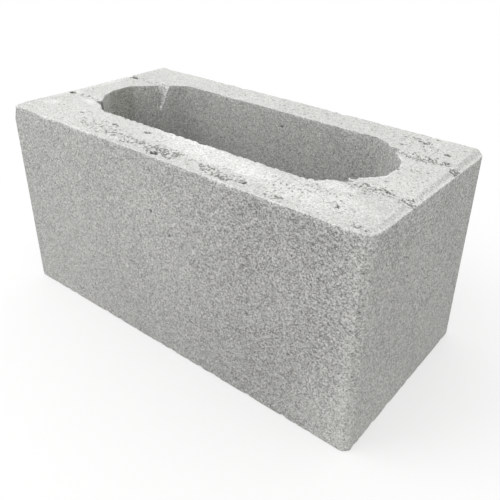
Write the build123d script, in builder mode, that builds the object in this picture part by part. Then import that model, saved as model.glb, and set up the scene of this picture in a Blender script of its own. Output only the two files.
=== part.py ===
"""Hollow concrete building block, cast in one piece.

The block stands on its bed face, as it left the mould, with its struck face up.
The origin is the middle of the bed face: +X runs along the length, -Y is the
side with the thicker shell, and +Z is up. All sizes are in millimetres.
"""

import os

from build123d import *

# Overall size: a 400 x 200 x 200 module less a 10 mm mortar joint each way
LENGTH = 390.0
WIDTH = 190.0
HEIGHT = 190.0
CORNER_CHAMFER = 5.0

# Walls round the cavity, measured at the top face
FRONT_SHELL = 47.0
BACK_SHELL = 34.0
END_WEB = 38.0

# Cavity: a long octagon with rounded corners, narrowing downwards by the core's draft
CORNER_CUT = 41.0
CORNER_RADIUS = 12.0
CORE_DRAFT = 0.6

# Slope that the tamper shoe presses along both short edges of the top face, with a ledge at its foot
SLOPE_LENGTH = 4.0
SLOPE_DROP = 2.4
LEDGE_LENGTH = 3.0
LEDGE_DROP = 0.6

# Shallow tracks left by the two bars that carry the core
TRACK_SPACING = 76.0
TRACK_WIDTH = 8.0
TRACK_DEPTH = 1.0

# Wedge notches in the cavity wall, left by the gussets under the bars, that die out downwards
NOTCH_HEIGHT = 28.0
NOTCH_LENGTH = 12.0
NOTCH_BITE = 0.5

CAVITY_LENGTH = LENGTH - 2 * END_WEB
CAVITY_WIDTH = WIDTH - FRONT_SHELL - BACK_SHELL
CAVITY_Y = (FRONT_SHELL - BACK_SHELL) / 2
TRACK_LENGTH = END_WEB + CORNER_CUT
TRACK_INNER = (TRACK_SPACING - TRACK_WIDTH) / 2
TRACK_OUTER = (TRACK_SPACING + TRACK_WIDTH) / 2

# A notch ends just past the point where the inner side of its track meets the cut corner
NOTCH_END = CAVITY_LENGTH / 2 - CORNER_CUT + CAVITY_WIDTH / 2 - TRACK_INNER + NOTCH_BITE
ENDS = (-1, 1)
SIDES = (-1, 1)


with BuildPart() as block:
    # Outer prism with its four upright edges chamfered
    with BuildSketch():
        Rectangle(LENGTH, WIDTH)
        chamfer(vertices(), length=CORNER_CHAMFER)
    extrude(amount=HEIGHT)

    # Cavity right through the block, widest at the top
    with BuildSketch(Plane((0, CAVITY_Y, HEIGHT))):
        Rectangle(CAVITY_LENGTH, CAVITY_WIDTH)
        chamfer(vertices(), length=CORNER_CUT)
        fillet(vertices(), radius=CORNER_RADIUS)
    extrude(amount=-HEIGHT, taper=CORE_DRAFT, mode=Mode.SUBTRACT)

    # Sloped short edges: each slope runs down to a ledge, which falls a little to the end face
    for end in ENDS:
        with BuildSketch(Plane.XZ):
            with BuildLine():
                Polyline(
                    (end * (LENGTH / 2 - LEDGE_LENGTH - SLOPE_LENGTH), HEIGHT),
                    (end * (LENGTH / 2 - LEDGE_LENGTH), HEIGHT - SLOPE_DROP),
                    (end * LENGTH / 2, HEIGHT - SLOPE_DROP - LEDGE_DROP),
                    (end * LENGTH / 2, HEIGHT),
                    close=True,
                )
            make_face()
        extrude(amount=WIDTH / 2, both=True, mode=Mode.SUBTRACT)

    # Bar tracks, from each end of the block to the cavity
    for end in ENDS:
        for side in SIDES:
            track_x = end * (LENGTH / 2 - TRACK_LENGTH / 2)
            track_y = CAVITY_Y + side * TRACK_SPACING / 2
            with BuildSketch(Plane((track_x, track_y, HEIGHT))):
                Rectangle(TRACK_LENGTH, TRACK_WIDTH)
            extrude(amount=-TRACK_DEPTH, mode=Mode.SUBTRACT)

    # Gusset notches: as wide as a track at the top, they taper to nothing at its inner side
    for end in ENDS:
        for side in SIDES:
            with BuildSketch(Plane.YZ.offset(end * NOTCH_END)):
                with BuildLine():
                    Polyline(
                        (CAVITY_Y + side * TRACK_INNER, HEIGHT),
                        (CAVITY_Y + side * TRACK_OUTER, HEIGHT),
                        (CAVITY_Y + side * TRACK_INNER, HEIGHT - NOTCH_HEIGHT),
                        close=True,
                    )
                make_face()
            extrude(amount=-end * NOTCH_LENGTH, mode=Mode.SUBTRACT)

block.part.label = "block"

os.makedirs("parts", exist_ok=True)
export_step(block.part, "parts/block.step")
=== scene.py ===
"""Dresses the hollow concrete block: rough cast faces, a crumbly struck top and a studio stage."""

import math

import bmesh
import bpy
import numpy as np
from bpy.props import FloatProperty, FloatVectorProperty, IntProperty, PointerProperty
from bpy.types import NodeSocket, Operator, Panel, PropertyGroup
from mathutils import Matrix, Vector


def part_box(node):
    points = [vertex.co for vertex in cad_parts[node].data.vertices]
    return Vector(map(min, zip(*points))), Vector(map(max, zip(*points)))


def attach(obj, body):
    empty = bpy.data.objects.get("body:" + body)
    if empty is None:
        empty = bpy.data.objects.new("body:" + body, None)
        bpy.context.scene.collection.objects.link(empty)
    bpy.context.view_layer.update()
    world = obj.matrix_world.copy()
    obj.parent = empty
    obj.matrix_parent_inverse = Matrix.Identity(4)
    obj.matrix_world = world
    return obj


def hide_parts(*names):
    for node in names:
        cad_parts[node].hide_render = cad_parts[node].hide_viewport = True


bl_info = {
    "name": "Hollow Concrete Block",
    "version": (1, 0, 0),
    "blender": (4, 5, 0),
    "location": "3D View > Sidebar > Block",
    "description": "Models a hollow concrete block with its voids, crumbly tracks and worn edges",
    "category": "Add Mesh",
}

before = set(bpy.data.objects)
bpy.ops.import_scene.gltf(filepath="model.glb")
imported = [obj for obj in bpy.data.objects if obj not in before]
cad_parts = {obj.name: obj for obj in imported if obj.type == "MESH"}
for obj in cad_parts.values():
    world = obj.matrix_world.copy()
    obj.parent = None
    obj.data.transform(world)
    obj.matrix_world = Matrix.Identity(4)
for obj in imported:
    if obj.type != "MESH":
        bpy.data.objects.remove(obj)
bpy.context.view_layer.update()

MM = 0.001
MERGE = 0.01 * MM
BLOCK_LOW, BLOCK_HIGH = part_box("block")
LENGTH, WIDTH, HEIGHT = (BLOCK_HIGH - BLOCK_LOW) / MM
WHITE = (1, 1, 1, 1)
SENSOR_WIDTH = 36


def length(name, description, millimetres):
    """A property that holds a length, given here in millimetres."""
    return FloatProperty(
        name=name,
        description=description,
        default=millimetres * MM,
        min=0,
        precision=4,
        subtype="DISTANCE",
        unit="LENGTH",
    )


def share(name, description, part):
    """A property that holds a share between 0 and 1."""
    return FloatProperty(
        name=name, description=description, default=part, min=0, max=1, subtype="FACTOR"
    )


def angle(name, description, degrees):
    """A property that holds an angle, given here in degrees."""
    return FloatProperty(
        name=name,
        description=description,
        default=math.radians(degrees),
        subtype="ANGLE",
        unit="ROTATION",
    )


def colour(name, description, rgb):
    """A property that holds a linear colour."""
    return FloatVectorProperty(
        name=name, description=description, default=rgb, size=3, min=0, max=1, subtype="COLOR"
    )


class BlockShape(PropertyGroup):
    """Where the mould's forms lie on the block."""

    front_shell: length("Front shell", "Wall in front of the cavity, at the top", 47)
    back_shell: length("Back shell", "Wall behind the cavity, at the top", 34)
    end_web: length("End web", "Wall at each end of the cavity, at the top", 38)
    corner_cut: length("Corner cut", "How far the cavity's corners are cut off", 41)
    slope_length: length("Slope length", "Slope along each short top edge", 4)
    slope_drop: length("Slope drop", "How far the slope falls", 2.4)
    ledge_length: length("Ledge length", "Ledge at the foot of the slope", 3)
    ledge_drop: length("Ledge drop", "How far the ledge falls", 0.6)
    track_spacing: length("Track spacing", "Distance between the two bar tracks of an end", 76)
    track_width: length("Track width", "Width of a bar track", 8)
    notch_height: length("Notch height", "How far a notch runs down the cavity wall", 28)


class CastSurface(PropertyGroup):
    """How rough and how true the cast is, and how finely it is modelled."""

    net_pitch: length("Net pitch", "Pitch of the dense net that the relief is pressed into", 0.9)
    triangle_limit: IntProperty(
        name="Triangle limit", description="Triangles left in the finished piece", default=190000
    )
    seed: IntProperty(name="Seed", description="Start of all random draws", default=7)
    sway: length("Sway", "Slow unevenness of the mould faces", 0.25)
    top_grain: length("Top grain", "Height of the grain of the struck top", 0.3)
    side_grain: length("Side grain", "Height of the grain of the mould faces", 0.05)
    edge_wear: length("Edge wear", "Deepest crumbs lost along the outer edges", 1.2)
    rim_wear: length("Rim wear", "Deepest crumbs lost along the rim of the cavity", 1.3)
    core_shift: length("Core shift", "How far the core stood towards the left end", 1.5)
    tamper_lean: length("Tamper lean", "How much deeper the slopes are at the back than at the front", 3.6)
    corner_loss: length("Corner loss", "Most that is worn off a front corner of the top", 4.0)


class CastTints(PropertyGroup):
    """How pale the faces are, and the light and shade painted on them."""

    chamfer_pale: share("Chamfer pale", "Paleness of the upright chamfers", 0.15)
    # Painted light on the cavity's walls, with more towards the cavity's right end
    wall_light: share("Wall pale", "Paleness of the cavity's lit walls", 0.27)
    end_light: share("End pale", "What the right end of the cavity has on top of that", 0.10)
    # Painted shade on the cavity's walls, full on the sheltered left end
    wall_shade: share("Wall damp", "Damp of the cavity's lit walls", 0.3)
    slope_grey: share("Slope grey", "How much of the pale skin the slopes lack", 0.3)
    # Painted light along the foot of the outer faces
    foot_light: share("Foot pale", "Paleness of the outer faces near the bed", 0.14)
    # Painted light on the front's right edge and its right foot
    front_light: share("Front rub", "Paleness of the front's right edge, and of its right foot", 0.24)
    # Painted shade on the front's right half and its foot
    front_soot: share("Front soot", "Grime on the front's right half, and on its foot", 0.5)


class ConcreteLook(PropertyGroup):
    """Colours of the concrete, and of the light and shade painted on it."""

    cement: colour("Cement", "Usual colour of the mould faces", (0.44, 0.44, 0.435))
    laitance: colour("Laitance", "Pale skin of fine cement on the struck top", (0.625, 0.625, 0.615))
    # Also the colour of the painted highlights along the rim, the front edge and the slopes
    white_and_highlight: colour("Bloom", "Whitest smears and chips", (0.82, 0.82, 0.81))
    # Painted shade of the cavity's walls, darker and a little greener than the cement
    cavity_shade: colour("Damp", "Colour of the cavity's sheltered walls", (0.385, 0.39, 0.36))
    dark_sand: colour("Dark sand", "Darkest sand grains", (0.20, 0.20, 0.195))
    pale_sand: colour("Pale sand", "Palest sand grains", (0.70, 0.70, 0.68))
    # Painted shade inside the pores, the gaps between crumbs and the pits
    pore_shade: colour("Pore", "Inside of the open pores", (0.13, 0.13, 0.12))


class StudioStage(PropertyGroup):
    """Floor, light and camera."""

    floor_size: length("Floor size", "Side of the square floor", 16000)
    floor_colour: colour("Floor colour", "Colour of the floor as it is seen", (0.90, 0.90, 0.90))
    floor_bounce: colour("Floor bounce", "Colour of the light off the floor", (0.66, 0.66, 0.64))
    shadow_near: length("Shadow near", "Up to here the floor shows the block's shadow", 200)
    shadow_far: length("Shadow far", "From here on the floor is plain white", 480)
    shadow_share: share("Shadow share", "How much of the shadow shows", 0.5)
    sky_level: FloatProperty(
        name="Sky level", description="Light that falls from all sides", default=1.0, min=0
    )
    sky_colour: colour("Sky colour", "Colour of that light", (1.0, 1.0, 0.985))
    lamp_power: FloatProperty(
        name="Lamp power", description="Power of the soft lamp", default=14, unit="POWER"
    )
    lamp_size: length("Lamp size", "Side of the soft lamp", 1400)
    lamp_place: FloatVectorProperty(
        name="Lamp place",
        description="Middle of the soft lamp, which faces the block",
        default=(-1.21, -1.1, 1.47),
        size=3,
        subtype="TRANSLATION",
        unit="LENGTH",
    )
    camera_azimuth: angle("Azimuth", "Where the camera stands round the block", 36.25)
    camera_elevation: angle("Elevation", "How steeply the camera looks down", 28.63)
    camera_roll: angle("Roll", "How far the camera leans", 1.956)
    camera_distance: length("Distance", "From the camera to the point it looks at", 584.9)
    camera_aim: FloatVectorProperty(
        name="Aim",
        description="The point that the camera looks at",
        default=(34.49 * MM, 27.49 * MM, 95 * MM),
        size=3,
        subtype="TRANSLATION",
        unit="LENGTH",
    )
    camera_lens: FloatProperty(
        name="Lens", description="Focal length on a 36 mm wide sensor", default=43.73
    )
    camera_shift: FloatVectorProperty(
        name="Shift", description="Shift of the lens", default=(-0.0584, -0.0592), size=2
    )


# Crumbly patches of the struck top, in millimetres: middle x and y, half length, half width, strength
CRUMBLY_PATCHES = (
    (-88, -77, 36, 14, 0.50),
    (128, -70, 48, 18, 0.42),
    (160, -33, 24, 10, 0.55),
    (162, 45, 26, 11, 0.55),
    (-66, -80, 14, 8, 0.75),
    (-44, -83, 13, 8, 0.75),
    (-18, -80, 30, 10, 0.45),
    (55, -80, 40, 9, 0.40),
    (-32, -81, 9, 5, 0.80),
    (-43, -60, 5, 3, 0.90),
    (-3, -82, 21, 10, 1.00),
    (13, -79, 7, 5, 0.90),
    (46, -83, 12, 8, 0.80),
    (67, -86, 15, 7, 0.80),
    (82, -83, 4, 7, 0.90),
    (112, -86, 13, 5, 0.65),
    (130, -56, 11, 5, 0.65),
    (152, -50, 12, 10, 0.35),
    (182, -86, 10, 6, 0.70),
    (148, -33, 9, 4, 0.70),
    (164, -31, 16, 7, 0.80),
    (176, -33, 7, 3, 0.70),
    (189, -34, 7, 8, 1.00),
    (172, 6, 18, 28, 0.24),
    (150, 43, 9, 5, 0.80),
    (166, 43, 17, 7, 0.80),
    (181, 47, 6, 4, 0.90),
    (192, 40, 6, 6, 1.00),
    (140, 43, 5, 6, 0.70),
    (148, 70, 26, 18, 0.38),
    (20, 78, 150, 14, 0.24),
    (134, 46, 5, 4, 0.90),
    (-152, 44, 20, 4, 0.60),
    (-184, 46, 9, 4, 0.80),
    (-165, -31, 14, 4, 0.60),
    (-188, -31, 6, 4, 0.80),
)

# Single pits of the struck top, in millimetres: middle x and y, half length, half width, depth
SINGLE_PITS = (
    (-126, -64, 4.0, 1.2, 1.4),
    (-122, -58, 4.0, 1.2, 1.2),
    (-42, -60, 3.0, 1.6, 1.6),
    (-5, -88, 4.5, 2.6, 3.0),
    (3, -84, 2.6, 1.6, 1.6),
    (83, -83, 2.4, 3.2, 1.6),
    (115, -86, 3.0, 1.6, 1.4),
    (130, 81, 2.6, 1.4, 1.6),
    (135, 84, 3.0, 1.4, 1.8),
    (140, 83, 2.6, 1.4, 1.6),
    (144, 79, 2.8, 1.8, 2.0),
    (150, 77, 3.0, 2.4, 2.6),
    (155, 91, 2.6, 1.4, 1.8),
    (135, 62, 2.2, 2.2, 1.2),
    (155, 63, 1.6, 1.4, 1.2),
    (158, 12, 2.6, 1.6, 1.6),
    (175, 64, 3.4, 2.4, 3.0),
    (180, -88, 1.8, 1.6, 1.6),
    (-181, 46, 5.5, 2.4, 2.4),
    (-186, -31, 5.0, 2.4, 3.0),
)

# Smooth white smears on the top, in millimetres: middle x and y, half length, half width, strength
WHITE_SMEARS = (
    (45, -64, 85, 12, 0.60),
    (10, -62, 30, 6, 0.75),
    (80, -68, 30, 7, 0.75),
    (-172, -66, 9, 6, 0.60),
    (125, -70, 55, 18, 0.50),
    (-145, -38, 14, 6, 0.60),
    (0, -53, 45, 6, 0.90),
    (-188, 0, 8, 62, 0.45),
    (130, -45, 24, 10, 0.45),
)

# How far the cavity's cut corners are pushed out, in millimetres: end, side and distance
CORNER_PUSHES = (
    (-1, -1, 3.5),
    (1, 1, 3.4),
    (1, -1, 0.5),
)

# Where the notches end, in millimetres from the block's middle: end, side, at the inner and outer edge
NOTCH_ENDS = (
    (-1, -1, 138, 146),
    (-1, 1, 142, 141),
    (1, -1, 143.5, 133),
)

# Ragged stretches of the cavity's rim, in millimetres: middle x and y, half length, half width, strength
RAGGED_RIM = (
    (134, -38, 26, 18, 1.60),
    (140, 42, 9, 10, 1.40),
    (105, 61, 24, 8, 0.90),
    (-20, -48, 150, 8, 0.45),
)

# Worn front corners of the top: end, share of the corner loss, and reach in millimetres
WORN_CORNERS = (
    (-1, 1.0, 15),
    (1, 0.75, 12),
)

# Air voids, in millimetres: distance apart, smallest and largest radius
SMALL_VOIDS = (3.2, 0.5, 1.6)
LARGE_VOIDS = (9.0, 1.0, 2.6)

# How long the waves and lumps of the relief are, in millimetres
SWAY_PITCH = 60
STRETCH_PITCH = 16
EDGE_PITCH = 7
GRAIN_PITCH = 5
RIM_PITCH = 3
CRUMB_PITCH = 2.1

# How fine the patterns of the material are, in repeats to the metre
CLOUDS = 14
BLOTCHES = 90
PORES = 230
SAND = 400
RUBBLE = 430
GRIT = 700
GRAIN = 1050
DUST = 1150

# Random values repeat after this many cells each way
LATTICE = 64

# How far apart the random values for different patterns are read, in millimetres, so that they disagree
AXIS_STEP = 31
STRETCH_STEP = 90
RIM_STEP = 200

# How deep the gaps between crumbs are, and how far in edge and rim are worn, in millimetres
CRUMB_DEPTH = 1.3
EDGE_REACH = 3.2
RIM_REACH = 3.5


class RandomField:
    """Smooth random values between 0 and 1 in space, the same on every run."""

    def __init__(self, seed):
        self.lattice = np.random.default_rng(seed).random((LATTICE,) * 3)

    def __call__(self, points, pitch):
        """Values at points, which change over about the pitch."""
        place = points / pitch
        low = np.floor(place).astype(int)
        part = place - low
        part = part * part * (3 - 2 * part)
        total = np.zeros(len(points))
        for corner in np.ndindex(2, 2, 2):
            weight = np.prod(np.where(corner, part, 1 - part), axis=1)
            index = (low + corner) % LATTICE
            total += weight * self.lattice[tuple(index.T)]
        return total

    def rough(self, points, pitch, octaves=3):
        """The same with finer and weaker values added."""
        total = np.zeros(len(points))
        weight = 1.0
        reach = 0.0
        for octave in range(octaves):
            total += weight * self(points + 0.37 * octave * pitch, pitch / 2**octave)
            reach += weight
            weight /= 2
        return total / reach


def smooth_step(low, high, values):
    """0 up to low, 1 from high, and smooth between them."""
    part = np.clip((values - low) / (high - low), 0, 1)
    return part * part * (3 - 2 * part)


def window(centre, half, soft, values):
    """1 within half of centre, fading to 0 over soft."""
    return 1 - smooth_step(half, half + soft, np.abs(values - centre))


def patches(rows, places):
    """The strongest of soft oval patches: x, y, half length, half width and strength."""
    found = np.zeros(len(places))
    for x, y, half_x, half_y, strength in rows:
        reach = np.hypot((places[:, 0] - x) / half_x, (places[:, 1] - y) / half_y)
        found = np.maximum(found, strength * (1 - smooth_step(0.5, 1.3, reach)))
    return found


def void_depth(points, normals, voids, wanted, seed):
    """Depth of the round air voids that the surface cuts: one to a cell, the wanted share of them open."""
    pitch, smallest, largest = voids
    lattice = np.random.default_rng(seed).random((LATTICE, LATTICE, LATTICE, 5))
    deepest = np.zeros(len(points))
    live = np.flatnonzero(wanted > 0.001)
    if not len(live):
        return deepest
    place, facing, wanted = points[live], normals[live], wanted[live]
    found = np.zeros(len(live))
    cell = np.floor(place / pitch).astype(int)
    for step in np.ndindex(3, 3, 3):
        near = cell + step - 1
        draw = lattice[tuple((near % LATTICE).T)]
        gap = place - (near + draw[:, :3]) * pitch
        radius = smallest + (largest - smallest) * draw[:, 3] ** 2
        ahead = np.einsum("ij,ij->i", gap, facing)
        inside = radius**2 - np.einsum("ij,ij->i", gap, gap)
        is_open = (inside > 0) & (draw[:, 4] < wanted)
        depth = ahead + np.sqrt(np.maximum(ahead**2 + inside, 0))
        found = np.maximum(found, np.where(is_open, depth, 0))
    deepest[live] = found
    return deepest


def make_blank():
    """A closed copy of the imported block, to press the relief into."""
    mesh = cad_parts["block"].data.copy()
    mesh.materials.clear()
    bm = bmesh.new()
    bm.from_mesh(mesh)
    bmesh.ops.remove_doubles(bm, verts=bm.verts, dist=MERGE)
    bm.to_mesh(mesh)
    bm.free()
    return mesh


def modified(mesh, kind, **settings):
    """A new mesh: this one with a modifier applied."""
    carrier = bpy.data.objects.new("carrier", mesh)
    bpy.context.scene.collection.objects.link(carrier)
    modifier = carrier.modifiers.new(kind.title(), kind)
    for name, value in settings.items():
        setattr(modifier, name, value)
    depsgraph = bpy.context.evaluated_depsgraph_get()
    result = bpy.data.meshes.new_from_object(carrier.evaluated_get(depsgraph))
    bpy.data.objects.remove(carrier)
    bpy.data.meshes.remove(mesh)
    return result


def read_vectors(items, name):
    """The named vectors of a mesh's vertices or normals, as rows in millimetres or unit length."""
    values = np.empty(len(items) * 3)
    items.foreach_get(name, values)
    return values.reshape(-1, 3)


class Forms:
    """The block's forms in millimetres, as seen from points of its surface."""

    def __init__(self, shape):
        sizes = {name: getattr(shape, name) / MM for name in shape.__annotations__}
        self.cavity_x = LENGTH / 2 - sizes["end_web"]
        self.cavity_y = (WIDTH - sizes["front_shell"] - sizes["back_shell"]) / 2
        self.middle_y = (sizes["front_shell"] - sizes["back_shell"]) / 2
        self.corner_cut = sizes["corner_cut"]
        self.corner_sum = self.cavity_x + self.cavity_y - self.corner_cut
        self.track_y = sizes["track_spacing"] / 2
        self.track_half = sizes["track_width"] / 2
        self.notch_height = sizes["notch_height"]
        self.notch_end = self.corner_sum - self.track_y + self.track_half
        self.ledge_length = sizes["ledge_length"]
        self.strip_length = sizes["slope_length"] + sizes["ledge_length"]
        self.slope_drop = sizes["slope_drop"]
        self.strip_drop = sizes["slope_drop"] + sizes["ledge_drop"]

    def off_cavity(self, points):
        """Distance outside the cavity's outline, below 0 inside it."""
        x = np.abs(points[:, 0])
        y = np.abs(points[:, 1] - self.middle_y)
        straight = np.maximum(x - self.cavity_x, y - self.cavity_y)
        return np.maximum(straight, (x + y - self.corner_sum) / math.sqrt(2))

    def strip_fall(self, points):
        """How far the mould's own slope and ledge lie under the top."""
        inward = LENGTH / 2 - np.abs(points[:, 0])
        return np.interp(
            inward,
            (0, self.ledge_length, self.strip_length),
            (self.strip_drop, self.slope_drop, 0),
        )


# What the mesh carries for its material, between 0 and 1: pale skin and painted light, white smears and
# chips and painted highlights, painted shade in hollows, crumbly ground, painted shade in the cavity,
# painted shade on the front, and how harsh the grain looks
MASKS = ("pale_skin_and_light", "white_and_highlight", "hollow", "crumb", "cavity_shade", "soot", "harsh")


class Relief:
    """The block's surface in millimetres, while its relief is pressed into it."""

    def __init__(self, mesh, surface):
        self.mesh = mesh
        self.points = read_vectors(mesh.vertices, "co") / MM
        self.normals = read_vectors(mesh.vertex_normals, "vector")
        self.start = self.points.copy()
        self.seed = surface.seed
        self.field = RandomField(surface.seed)
        self.is_top = smooth_step(0.35, 0.75, self.normals[:, 2]) * (self.start[:, 2] > HEIGHT / 2)
        for name in MASKS:
            setattr(self, name, np.zeros(len(self.points)))
        self.pale_skin_and_light = self.is_top.copy()

    def press(self, depth):
        """Move the surface inwards along its normals."""
        self.points -= self.normals * np.reshape(depth, (-1, 1))

    def jittered(self, amount, pitch):
        """The starting points, moved about so that drawn outlines come out ragged."""
        shifts = [self.field(self.start + AXIS_STEP * axis, pitch) - 0.5 for axis in range(3)]
        return self.start + amount * np.stack(shifts, 1)

    def write(self):
        """Put the moved points and the masks into the mesh."""
        self.mesh.vertices.foreach_set("co", (self.points * MM).ravel())
        for name in MASKS:
            layer = self.mesh.attributes.new(name, "FLOAT", "POINT")
            values = np.clip(getattr(self, name), 0, 1)
            layer.data.foreach_set("value", values.astype(np.float32))
        self.mesh.update()


def press_grain(relief, surface):
    """Give every face its slow sway and its grain, coarser on the struck top."""
    sway = surface.sway / MM * relief.field.rough(relief.start, SWAY_PITCH, 2)
    coarse = relief.field.rough(relief.start, GRAIN_PITCH, 3)
    top = surface.top_grain / MM * coarse
    side = surface.side_grain / MM * coarse
    relief.press(sway + side + (top - side) * relief.is_top)


def press_crumbs(relief):
    """Open the crumbly patches and the single pits of the struck top, and paint shade into them."""
    ragged = relief.jittered(5.0, 6.0)
    crumb = patches(CRUMBLY_PATCHES, ragged) * relief.is_top
    lumps = relief.field.rough(relief.start, CRUMB_PITCH, 2)
    gaps = crumb * smooth_step(0.57, 0.73, lumps)
    relief.press(CRUMB_DEPTH * gaps)
    relief.crumb = crumb
    # Painted shade in the gaps between the crumbs
    relief.hollow += 0.5 * gaps

    ragged = relief.jittered(2.0, 2.5)
    deepest = np.zeros(len(ragged))
    for x, y, half_x, half_y, depth in SINGLE_PITS:
        reach = np.hypot((ragged[:, 0] - x) / half_x, (ragged[:, 1] - y) / half_y)
        deepest = np.maximum(deepest, depth * np.sqrt(np.clip(1 - reach**2, 0, 1)))
    deepest *= relief.is_top
    relief.points[:, 2] -= deepest
    # Painted shade in the pits
    relief.hollow += smooth_step(0.3, 1.2, deepest)


def press_voids(relief):
    """Open air voids: few on the mould faces, many in the crumbly patches of the top; and paint shade into
    them.
    """
    ragged = relief.jittered(0.9, 1.6)
    small = 0.006 + 0.015 * relief.is_top + 0.28 * relief.crumb
    shallow = void_depth(ragged, relief.normals, SMALL_VOIDS, small, relief.seed + 1)
    large = 0.008 + 0.01 * relief.is_top + 0.04 * relief.crumb
    deep = void_depth(ragged, relief.normals, LARGE_VOIDS, large, relief.seed + 2)
    depth = np.maximum(0.8 * shallow, 0.75 * deep)
    relief.press(depth)
    # Painted shade in the open voids
    relief.hollow += smooth_step(0.2, 1.4, depth)


def press_edges(relief, forms, surface):
    """Crumble the outer edges and the rim of the cavity, and paint highlights along them."""
    x, y, z = relief.start.T
    near = [LENGTH / 2 - np.abs(x), WIDTH / 2 - np.abs(y), z, HEIGHT - z]
    distance = np.sort(np.stack(near, 1), axis=1)
    edge = 1 - smooth_step(0.4, EDGE_REACH, np.hypot(distance[:, 0], distance[:, 1]))
    lumps = relief.field.rough(relief.start, EDGE_PITCH, 3)
    relief.press(surface.edge_wear / MM * edge * smooth_step(0.45, 0.85, lumps))

    rim_distance = np.hypot(np.maximum(forms.off_cavity(relief.start), 0), HEIGHT - z)
    rim = 1 - smooth_step(0.3, RIM_REACH, rim_distance)
    ragged = patches(RAGGED_RIM, relief.start)
    chips = relief.field.rough(relief.start + RIM_STEP, RIM_PITCH, 2)
    relief.press(surface.rim_wear / MM * rim * (0.3 + ragged) * smooth_step(0.40, 0.75, chips))

    # Painted highlights along the rim and the front edge in stretches, and along each slope's crest and
    # foot all along
    long_waves = relief.field.rough(relief.start + STRETCH_STEP, STRETCH_PITCH, 2)
    stretches = smooth_step(0.42, 0.62, long_waves)
    crest = window(forms.strip_length, 0.5, 0.8, LENGTH / 2 - np.abs(x)) * relief.is_top
    brink = np.hypot(LENGTH / 2 - np.abs(x), HEIGHT - forms.strip_drop - z)
    white = 0.12 * crest + 0.6 * (1 - smooth_step(0.6, 1.8, brink)) * relief.is_top
    white += 0.9 * (1 - smooth_step(0.6, 2.0, rim_distance)) * stretches
    front = (1 - smooth_step(0.8, 2.6, np.hypot(WIDTH / 2 + y, HEIGHT - z))) * stretches
    relief.white_and_highlight = np.maximum(relief.white_and_highlight, white + 0.6 * front)


def press_strips(relief, forms, surface):
    """Lean the sloped strips as the tamper did, deeper at the back but for the right back corner."""
    x, y, z = relief.start.T
    lean = surface.tamper_lean / MM * (y / WIDTH - 0.1) / forms.strip_drop
    lean -= 0.6 * smooth_step(80, 94, y) * (x > 0)
    above = smooth_step(HEIGHT - 22, HEIGHT - 6, z)
    relief.points[:, 2] -= forms.strip_fall(relief.start) * lean * above


def grey_slopes(relief, forms, tints):
    """Take some of the pale skin off the slopes."""
    inward = LENGTH / 2 - np.abs(relief.start[:, 0])
    slope = smooth_step(forms.ledge_length - 0.5, forms.ledge_length + 0.5, inward)
    slope *= 1 - smooth_step(forms.strip_length - 1.2, forms.strip_length - 0.4, inward)
    relief.pale_skin_and_light *= 1 - tints.slope_grey * slope


def press_core(relief, forms, surface):
    """Shift the cavity as the core stood, and push out its cut corners."""
    x, y, _ = relief.start.T
    near = 1 - smooth_step(0, 14, forms.off_cavity(relief.start))
    relief.points[:, 0] -= surface.core_shift / MM * near
    for end, side, push in CORNER_PUSHES:
        beyond_end = end * x - forms.cavity_x
        beyond_side = side * (y - forms.middle_y) - forms.cavity_y
        along = (beyond_end - beyond_side) / math.sqrt(2)
        corner = near * window(0, 16, 13, along) * (beyond_end + beyond_side > -2 * forms.corner_cut)
        relief.points[:, 0] += end * push / math.sqrt(2) * corner
        relief.points[:, 1] += side * push / math.sqrt(2) * corner


def press_notches(relief, forms):
    """Draw the end of each notch in or out, and the concrete behind it along."""
    x, y, z = relief.start.T
    for end, side, at_inner, at_outer in NOTCH_ENDS:
        across = side * (y - forms.middle_y)
        part = (across - forms.track_y + forms.track_half) / (2 * forms.track_half)
        wall = forms.corner_sum - across
        depth = (end * x - wall) / np.maximum(forms.notch_end - wall, 0.2)
        shift = np.interp(part, (0, 1), (at_inner, at_outer)) - forms.notch_end
        shift *= smooth_step(-0.06, 0.06, part) * (1 - smooth_step(0.94, 1.06, part))
        shift *= smooth_step(0.2, 0.95, depth) * (z > HEIGHT / 2)
        shift *= 1 - smooth_step(forms.notch_end + 1, forms.notch_end + 22, end * x)
        relief.points[:, 0] += end * shift


def whiten_notch(relief, forms):
    """Whiten the inside of the left back notch, as wide as it is at each height."""
    x, y, z = relief.start.T
    left = 1 - (HEIGHT - z) / forms.notch_height
    inner = forms.middle_y + forms.track_y - forms.track_half
    outer = inner + 2 * forms.track_half * left
    inside = smooth_step(inner - 0.5, inner + 0.2, y) * (1 - smooth_step(outer - 0.3, outer + 0.6, y))
    inside *= (forms.off_cavity(relief.start) > -1) * (x > -forms.notch_end - 1) * (x < 0)
    relief.white_and_highlight = np.maximum(relief.white_and_highlight, inside * (left > 0) * (1 - relief.is_top))


def press_corners(relief, surface):
    """Wear the front corners of the top round, the left one deeper."""
    for end, part, reach in WORN_CORNERS:
        corner = np.array((end * LENGTH / 2, -WIDTH / 2 + 3, HEIGHT))
        distance = np.linalg.norm(corner - relief.start, axis=1)
        loss = part * surface.corner_loss / MM * np.clip(1 - distance / reach, 0, 1)
        inward = np.array((-0.83 * end, 0.55, 0))
        relief.points += inward * loss[:, None]


def smear_top(relief):
    """Smear the struck top white."""
    ragged = relief.jittered(9.0, 14.0)
    smears = patches(WHITE_SMEARS, ragged) * relief.is_top
    relief.white_and_highlight = np.maximum(relief.white_and_highlight, smears)


def tint_chamfers(relief, tints):
    """Lighten the chamfers of the upright outer edges."""
    upright = (np.abs(relief.normals[:, 0]) > 0.4) & (np.abs(relief.normals[:, 1]) > 0.4)
    outer = np.abs(relief.start[:, 0]) > LENGTH / 2 - 6
    relief.pale_skin_and_light = np.maximum(relief.pale_skin_and_light, tints.chamfer_pale * (upright & outer))


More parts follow.
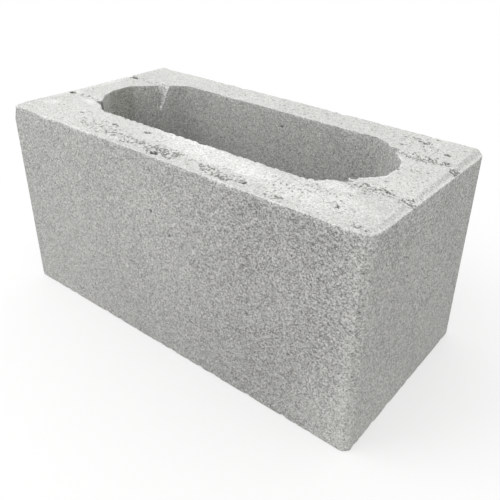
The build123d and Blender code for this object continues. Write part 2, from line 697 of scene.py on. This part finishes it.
def tint_cavity(relief, forms, tints):
    """Paint light onto the cavity's walls, more at its right end, and paint shade onto them, fully on the
    sheltered left end.
    """
    x = relief.start[:, 0]
    inside = (forms.off_cavity(relief.start) < 1) * (1 - relief.is_top)
    sheltered = smooth_step(0.75, 0.95, relief.normals[:, 0])
    # Painted light on the unsheltered walls, and painted shade on all walls, fully on the sheltered left
    # end
    lit = tints.wall_light + tints.end_light * smooth_step(90, forms.cavity_x, x)
    relief.pale_skin_and_light = np.maximum(relief.pale_skin_and_light, lit * inside * (1 - sheltered))
    relief.cavity_shade = inside * (tints.wall_shade + (1 - tints.wall_shade) * sheltered)


def tint_outside(relief, forms, tints):
    """Paint shade onto the front's right half and its middle foot, paint light onto its right edge and
    right foot, and paint light onto all outer faces near the bed.
    """
    x, y, z = relief.start.T
    front = smooth_step(0.5, 0.9, -relief.normals[:, 1]) * (y < -WIDTH / 2 + 12)
    right = smooth_step(-15, 120, x) * (1 - 0.6 * smooth_step(150, LENGTH / 2, x))
    middle_foot = window(20, 60, 130, x) * (1 - smooth_step(0, 115, z))
    # Painted shade on the front's right half and its middle foot
    relief.soot = tints.front_soot * front * (right + middle_foot)
    relief.harsh = front * smooth_step(-60, 150, x)
    right_edge = smooth_step(LENGTH / 2 - 18, LENGTH / 2 - 7, x)
    right_foot = smooth_step(110, 165, x) * (1 - smooth_step(40, 100, z))
    outside = forms.off_cavity(relief.start) > 1
    # Painted light along the foot of all outer faces, and on the front's right edge and right foot
    low = tints.foot_light * outside * (1 - smooth_step(8, 55, z))
    lit_front = tints.front_light * front * (right_edge + right_foot)
    relief.pale_skin_and_light = np.maximum(relief.pale_skin_and_light, lit_front + low)


def make_block(shape, surface, tints):
    """The finished mesh: blank, dense net, relief, and no more triangles than allowed."""
    mesh = modified(make_blank(), "REMESH", mode="VOXEL", voxel_size=surface.net_pitch)
    forms = Forms(shape)
    relief = Relief(mesh, surface)
    press_grain(relief, surface)
    press_crumbs(relief)
    press_voids(relief)
    press_edges(relief, forms, surface)
    press_strips(relief, forms, surface)
    grey_slopes(relief, forms, tints)
    press_core(relief, forms, surface)
    press_notches(relief, forms)
    whiten_notch(relief, forms)
    press_corners(relief, surface)
    smear_top(relief)
    tint_chamfers(relief, tints)
    tint_cavity(relief, forms, tints)
    tint_outside(relief, forms, tints)
    relief.write()
    triangles = 2 * len(mesh.polygons)
    mesh = modified(mesh, "DECIMATE", ratio=min(1, surface.triangle_limit / triangles))
    mesh.shade_smooth()
    return mesh


class Value:
    """A shader socket that can stand in a sum: each operator adds its Math node."""

    def __init__(self, graph, socket):
        self.graph = graph
        self.socket = socket

    def math(self, operation, first, second):
        """The outcome of a Math node on two values."""
        node = self.graph.add(
            "ShaderNodeMath", {"operation": operation}, {0: first, 1: second}
        )
        return Value(self.graph, node.outputs[0])

    def __add__(self, other):
        return self.math("ADD", self, other)

    def __radd__(self, other):
        return self.math("ADD", other, self)

    def __sub__(self, other):
        return self.math("SUBTRACT", self, other)

    def __rsub__(self, other):
        return self.math("SUBTRACT", other, self)

    def __mul__(self, other):
        return self.math("MULTIPLY", self, other)

    def __rmul__(self, other):
        return self.math("MULTIPLY", other, self)

    def __gt__(self, other):
        return self.math("GREATER_THAN", self, other)

    def __lt__(self, other):
        return self.math("LESS_THAN", self, other)


class Graph:
    """The nodes of one material or world."""

    def __init__(self, owner):
        owner.use_nodes = True
        self.tree = owner.node_tree
        self.tree.nodes.clear()

    def add(self, kind, settings=None, sockets=None):
        """Add a node: its settings first, then the values or links of its sockets."""
        node = self.tree.nodes.new(kind)
        for name, value in (settings or {}).items():
            setattr(node, name, value)
        for name, value in (sockets or {}).items():
            value = value.socket if isinstance(value, Value) else value
            if isinstance(value, NodeSocket):
                self.tree.links.new(value, node.inputs[name])
            else:
                node.inputs[name].default_value = value
        return node

    def noise(self, place, scale, detail=2.0, roughness=0.5):
        """Cloudy values between 0 and 1."""
        node = self.add(
            "ShaderNodeTexNoise",
            {"noise_dimensions": "3D"},
            {"Vector": place, "Scale": scale, "Detail": detail, "Roughness": roughness},
        )
        return Value(self, node.outputs["Fac"])

    def cells(self, place, scale):
        """Distance from the middle of random cells, and a random value for each cell."""
        node = self.add("ShaderNodeTexVoronoi", {}, {"Vector": place, "Scale": scale})
        split = self.add("ShaderNodeSeparateColor", {}, {"Color": node.outputs["Color"]})
        return Value(self, node.outputs["Distance"]), Value(self, split.outputs[0])

    def attribute(self, name):
        """A mask that the mesh carries."""
        node = self.add("ShaderNodeAttribute", {"attribute_name": name})
        return Value(self, node.outputs["Fac"])

    def between(self, values, low, high, to_low=0.0, to_high=1.0):
        """Values from low to high mapped smoothly to another range."""
        node = self.add(
            "ShaderNodeMapRange",
            {"interpolation_type": "SMOOTHSTEP"},
            {0: values, 1: low, 2: high, 3: to_low, 4: to_high},
        )
        return Value(self, node.outputs[0])

    def seen(self):
        """1 where the camera, a reflection or glass looks, and 0 for light on its way round."""
        path = self.add("ShaderNodeLightPath")
        rays = ("Is Camera Ray", "Is Glossy Ray", "Is Transmission Ray")
        camera, glossy, glass = (Value(self, path.outputs[ray]) for ray in rays)
        return (camera + glossy + glass) > 0.5

    def scaled(self, tone, shade):
        """A colour made lighter or darker."""
        node = self.add(
            "ShaderNodeVectorMath", {"operation": "SCALE"}, {"Vector": tone, "Scale": shade}
        )
        return node.outputs["Vector"]

    def mix(self, factor, first, second):
        """A colour between two colours."""
        node = self.add(
            "ShaderNodeMix", {"data_type": "RGBA"}, {0: factor, 6: first, 7: second}
        )
        return node.outputs[2]


def rgba(values):
    """A colour property as a socket value."""
    return (*values, 1.0)


def concrete_material(look):
    """Grey cement with cloudy mottling, sand grains and pores painted dark, paler on the struck top, with
    the painted light, shade and highlights that the mesh's masks carry.
    """
    material = bpy.data.materials.new("concrete")
    graph = Graph(material)
    place = graph.add("ShaderNodeTexCoord").outputs["Object"]
    pale_skin_and_light, white_and_highlight, hollow, crumb, cavity_shade, soot, harsh = (graph.attribute(name) for name in MASKS)

    clouds = graph.noise(place, CLOUDS, 3)
    blotches = graph.noise(place, BLOTCHES, 4, 0.6)
    rubble = graph.noise(place, RUBBLE, 2, 0.6)
    grain = graph.noise(place, GRAIN, 2, 0.7)
    pore_distance, pore_draw = graph.cells(place, PORES)
    sand_distance, sand_draw = graph.cells(place, SAND)
    _, grit_draw = graph.cells(place, GRIT)
    _, dust_draw = graph.cells(place, DUST)

    # The skin's tone with its painted light, shade and highlights, before its grain
    tone = graph.mix(cavity_shade, rgba(look.cement), rgba(look.cavity_shade))
    tone = graph.mix(pale_skin_and_light, tone, rgba(look.laitance))
    tone = graph.mix(white_and_highlight, tone, rgba(look.white_and_highlight))

    # Mottling and grain, which the pale skin half covers
    calm = 1 - 0.45 * pale_skin_and_light
    slow = 0.22 * (clouds - 0.5) + 0.10 * (blotches - 0.5)
    coarse = 0.10 * (sand_draw - 0.5) + 0.22 * (grit_draw - 0.5)
    fine = (0.9 * (grain - 0.5) + 0.8 * (dust_draw - 0.5)) * (1 + 0.35 * harsh)
    # Painted shade on the front's right half and its foot
    shade_factor = 1 - 0.24 * soot
    shaded = graph.scaled(tone, shade_factor * (1 + slow + calm * (coarse + fine)))

    # A few dark and pale sand grains, and broken grains in the crumbly patches
    sand_spot = graph.between(sand_distance, 0.25, 0.55, 1, 0)
    dark = (sand_draw > 0.90) * sand_spot * (calm * 0.6)
    light = (sand_draw < 0.12) * sand_spot * 0.6
    grained = graph.mix(dark, shaded, rgba(look.dark_sand))
    grained = graph.mix(light, grained, rgba(look.pale_sand))
    chip = graph.between(rubble, 0.38, 0.46, 1, 0) * crumb
    grained = graph.mix(chip * 0.6, grained, rgba(look.white_and_highlight))

    # Painted shade: open pores, gaps between the crumbs, and the pits that the mesh has, darkened as shade
    gap = graph.between(rubble + 0.24 * crumb, 0.70, 0.76) * (crumb > 0.1)
    open_pore = (pore_draw > 0.93) * graph.between(pore_distance, 0.12, 0.28, 1, 0)
    pored = graph.mix(open_pore * 0.6 + gap * 0.72, grained, rgba(look.pore_shade))
    finished = graph.mix(graph.between(hollow, 0.0, 1.0, 0.0, 0.9), pored, rgba(look.pore_shade))

    rough = 0.4 * blotches + 0.7 * grain + 0.3 * sand_draw + 0.5 * grit_draw
    height = calm * rough - open_pore - gap
    bump = graph.add(
        "ShaderNodeBump", {}, {"Strength": 0.8, "Distance": 0.6 * MM, "Height": height}
    )
    shader = graph.add(
        "ShaderNodeBsdfPrincipled",
        {},
        {
            "Base Color": finished,
            "Roughness": 0.92,
            "Specular IOR Level": 0.25,
            "Normal": bump.outputs["Normal"],
        },
    )
    graph.add("ShaderNodeOutputMaterial", {}, {"Surface": shader.outputs[0]})
    return material


def floor_material(stage):
    """A pale floor that keeps the block's shadow and is plain white further out."""
    material = bpy.data.materials.new("floor")
    graph = Graph(material)
    seen = graph.seen()
    place = graph.add("ShaderNodeTexCoord").outputs["Object"]
    reach = graph.add("ShaderNodeVectorMath", {"operation": "LENGTH"}, {0: place})
    away = Value(graph, reach.outputs["Value"])
    lost = graph.between(away, stage.shadow_near, stage.shadow_far, 1 - stage.shadow_share, 1)
    tone = graph.mix(seen, rgba(stage.floor_bounce), rgba(stage.floor_colour))
    paint = graph.add("ShaderNodeBsdfDiffuse", {}, {"Color": tone})
    white = graph.add("ShaderNodeEmission", {}, {"Color": WHITE, "Strength": 1.0})
    mixed = graph.add(
        "ShaderNodeMixShader", {}, {0: seen * lost, 1: paint.outputs[0], 2: white.outputs[0]}
    )
    graph.add("ShaderNodeOutputMaterial", {}, {"Surface": mixed.outputs[0]})
    return material


def set_world(stage):
    """An even sky that lights the block, and is plain white where it is seen."""
    world = bpy.data.worlds.new("studio")
    bpy.context.scene.world = world
    graph = Graph(world)
    sky = graph.add(
        "ShaderNodeBackground",
        {},
        {"Color": rgba(stage.sky_colour), "Strength": stage.sky_level},
    )
    white = graph.add("ShaderNodeBackground", {}, {"Color": WHITE, "Strength": 1.0})
    mixed = graph.add(
        "ShaderNodeMixShader", {}, {0: graph.seen(), 1: sky.outputs[0], 2: white.outputs[0]}
    )
    graph.add("ShaderNodeOutputWorld", {}, {"Surface": mixed.outputs[0]})


def set_camera(stage):
    """Stand the camera where the photograph was taken."""
    data = bpy.data.cameras.new("camera")
    data.sensor_width = SENSOR_WIDTH
    data.lens = stage.camera_lens
    data.shift_x, data.shift_y = stage.camera_shift
    data.clip_start = 10 * MM
    data.clip_end = 100
    turn = (
        Matrix.Rotation(stage.camera_azimuth, 4, "Z")
        @ Matrix.Rotation(math.pi / 2 - stage.camera_elevation, 4, "X")
        @ Matrix.Rotation(stage.camera_roll, 4, "Z")
    )
    camera = bpy.data.objects.new("camera", data)
    back = Matrix.Translation((0, 0, stage.camera_distance))
    camera.matrix_world = Matrix.Translation(stage.camera_aim) @ turn @ back
    bpy.context.scene.collection.objects.link(camera)
    bpy.context.scene.camera = camera


class OBJECT_OT_cast_block(Operator):
    """Model the block with its rough cast surface"""

    bl_idname = "object.cast_block"
    bl_label = "Cast block"

    def execute(self, context):
        scene = context.scene
        mesh = make_block(scene.block_shape, scene.cast_surface, scene.cast_tints)
        mesh.materials.append(concrete_material(scene.concrete_look))
        block = bpy.data.objects.new("cast_block", mesh)
        scene.collection.objects.link(block)
        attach(block, "root")
        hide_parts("block")
        return {"FINISHED"}


class OBJECT_OT_set_block_stage(Operator):
    """Lay the floor, hang the lamp and stand the camera"""

    bl_idname = "object.set_block_stage"
    bl_label = "Set stage"

    def execute(self, context):
        stage = context.scene.studio_stage
        bm = bmesh.new()
        bmesh.ops.create_grid(bm, x_segments=1, y_segments=1, size=stage.floor_size / 2)
        mesh = bpy.data.meshes.new("floor")
        bm.to_mesh(mesh)
        bm.free()
        mesh.materials.append(floor_material(stage))
        floor = bpy.data.objects.new("floor", mesh)
        context.scene.collection.objects.link(floor)

        data = bpy.data.lights.new("softbox", "AREA")
        data.energy = stage.lamp_power
        data.size = stage.lamp_size
        lamp = bpy.data.objects.new("softbox", data)
        lamp.location = stage.lamp_place
        lamp.rotation_euler = lamp.location.to_track_quat("Z", "Y").to_euler()
        context.scene.collection.objects.link(lamp)

        set_world(stage)
        set_camera(stage)
        context.scene.view_settings.view_transform = "Standard"
        return {"FINISHED"}


class VIEW3D_PT_hollow_block(Panel):
    """Lists the steps and their settings"""

    bl_idname = "VIEW3D_PT_hollow_block"
    bl_label = "Hollow block"
    bl_space_type = "VIEW_3D"
    bl_region_type = "UI"
    bl_category = "Block"

    def draw(self, context):
        column = self.layout.column()
        for operator, groups in STEPS:
            column.operator(operator.bl_idname)
            for group in groups:
                settings = getattr(context.scene, group)
                for name in settings.__annotations__:
                    column.prop(settings, name)


SETTINGS = {
    "block_shape": BlockShape,
    "cast_surface": CastSurface,
    "cast_tints": CastTints,
    "concrete_look": ConcreteLook,
    "studio_stage": StudioStage,
}
STEPS = (
    (OBJECT_OT_cast_block, ("block_shape", "cast_surface", "cast_tints", "concrete_look")),
    (OBJECT_OT_set_block_stage, ("studio_stage",)),
)
CLASSES = (*SETTINGS.values(), *(operator for operator, _ in STEPS), VIEW3D_PT_hollow_block)


def register():
    """Make the classes known, and give every scene their settings."""
    for item in CLASSES:
        bpy.utils.register_class(item)
    for name, group in SETTINGS.items():
        setattr(bpy.types.Scene, name, PointerProperty(type=group))


def unregister():
    """Take the settings and the classes out again."""
    for name in SETTINGS:
        delattr(bpy.types.Scene, name)
    for item in reversed(CLASSES):
        bpy.utils.unregister_class(item)


def main():
    """Build everything in order."""
    register()
    bpy.ops.object.cast_block()
    bpy.ops.object.set_block_stage()


if __name__ == "__main__":
    main()
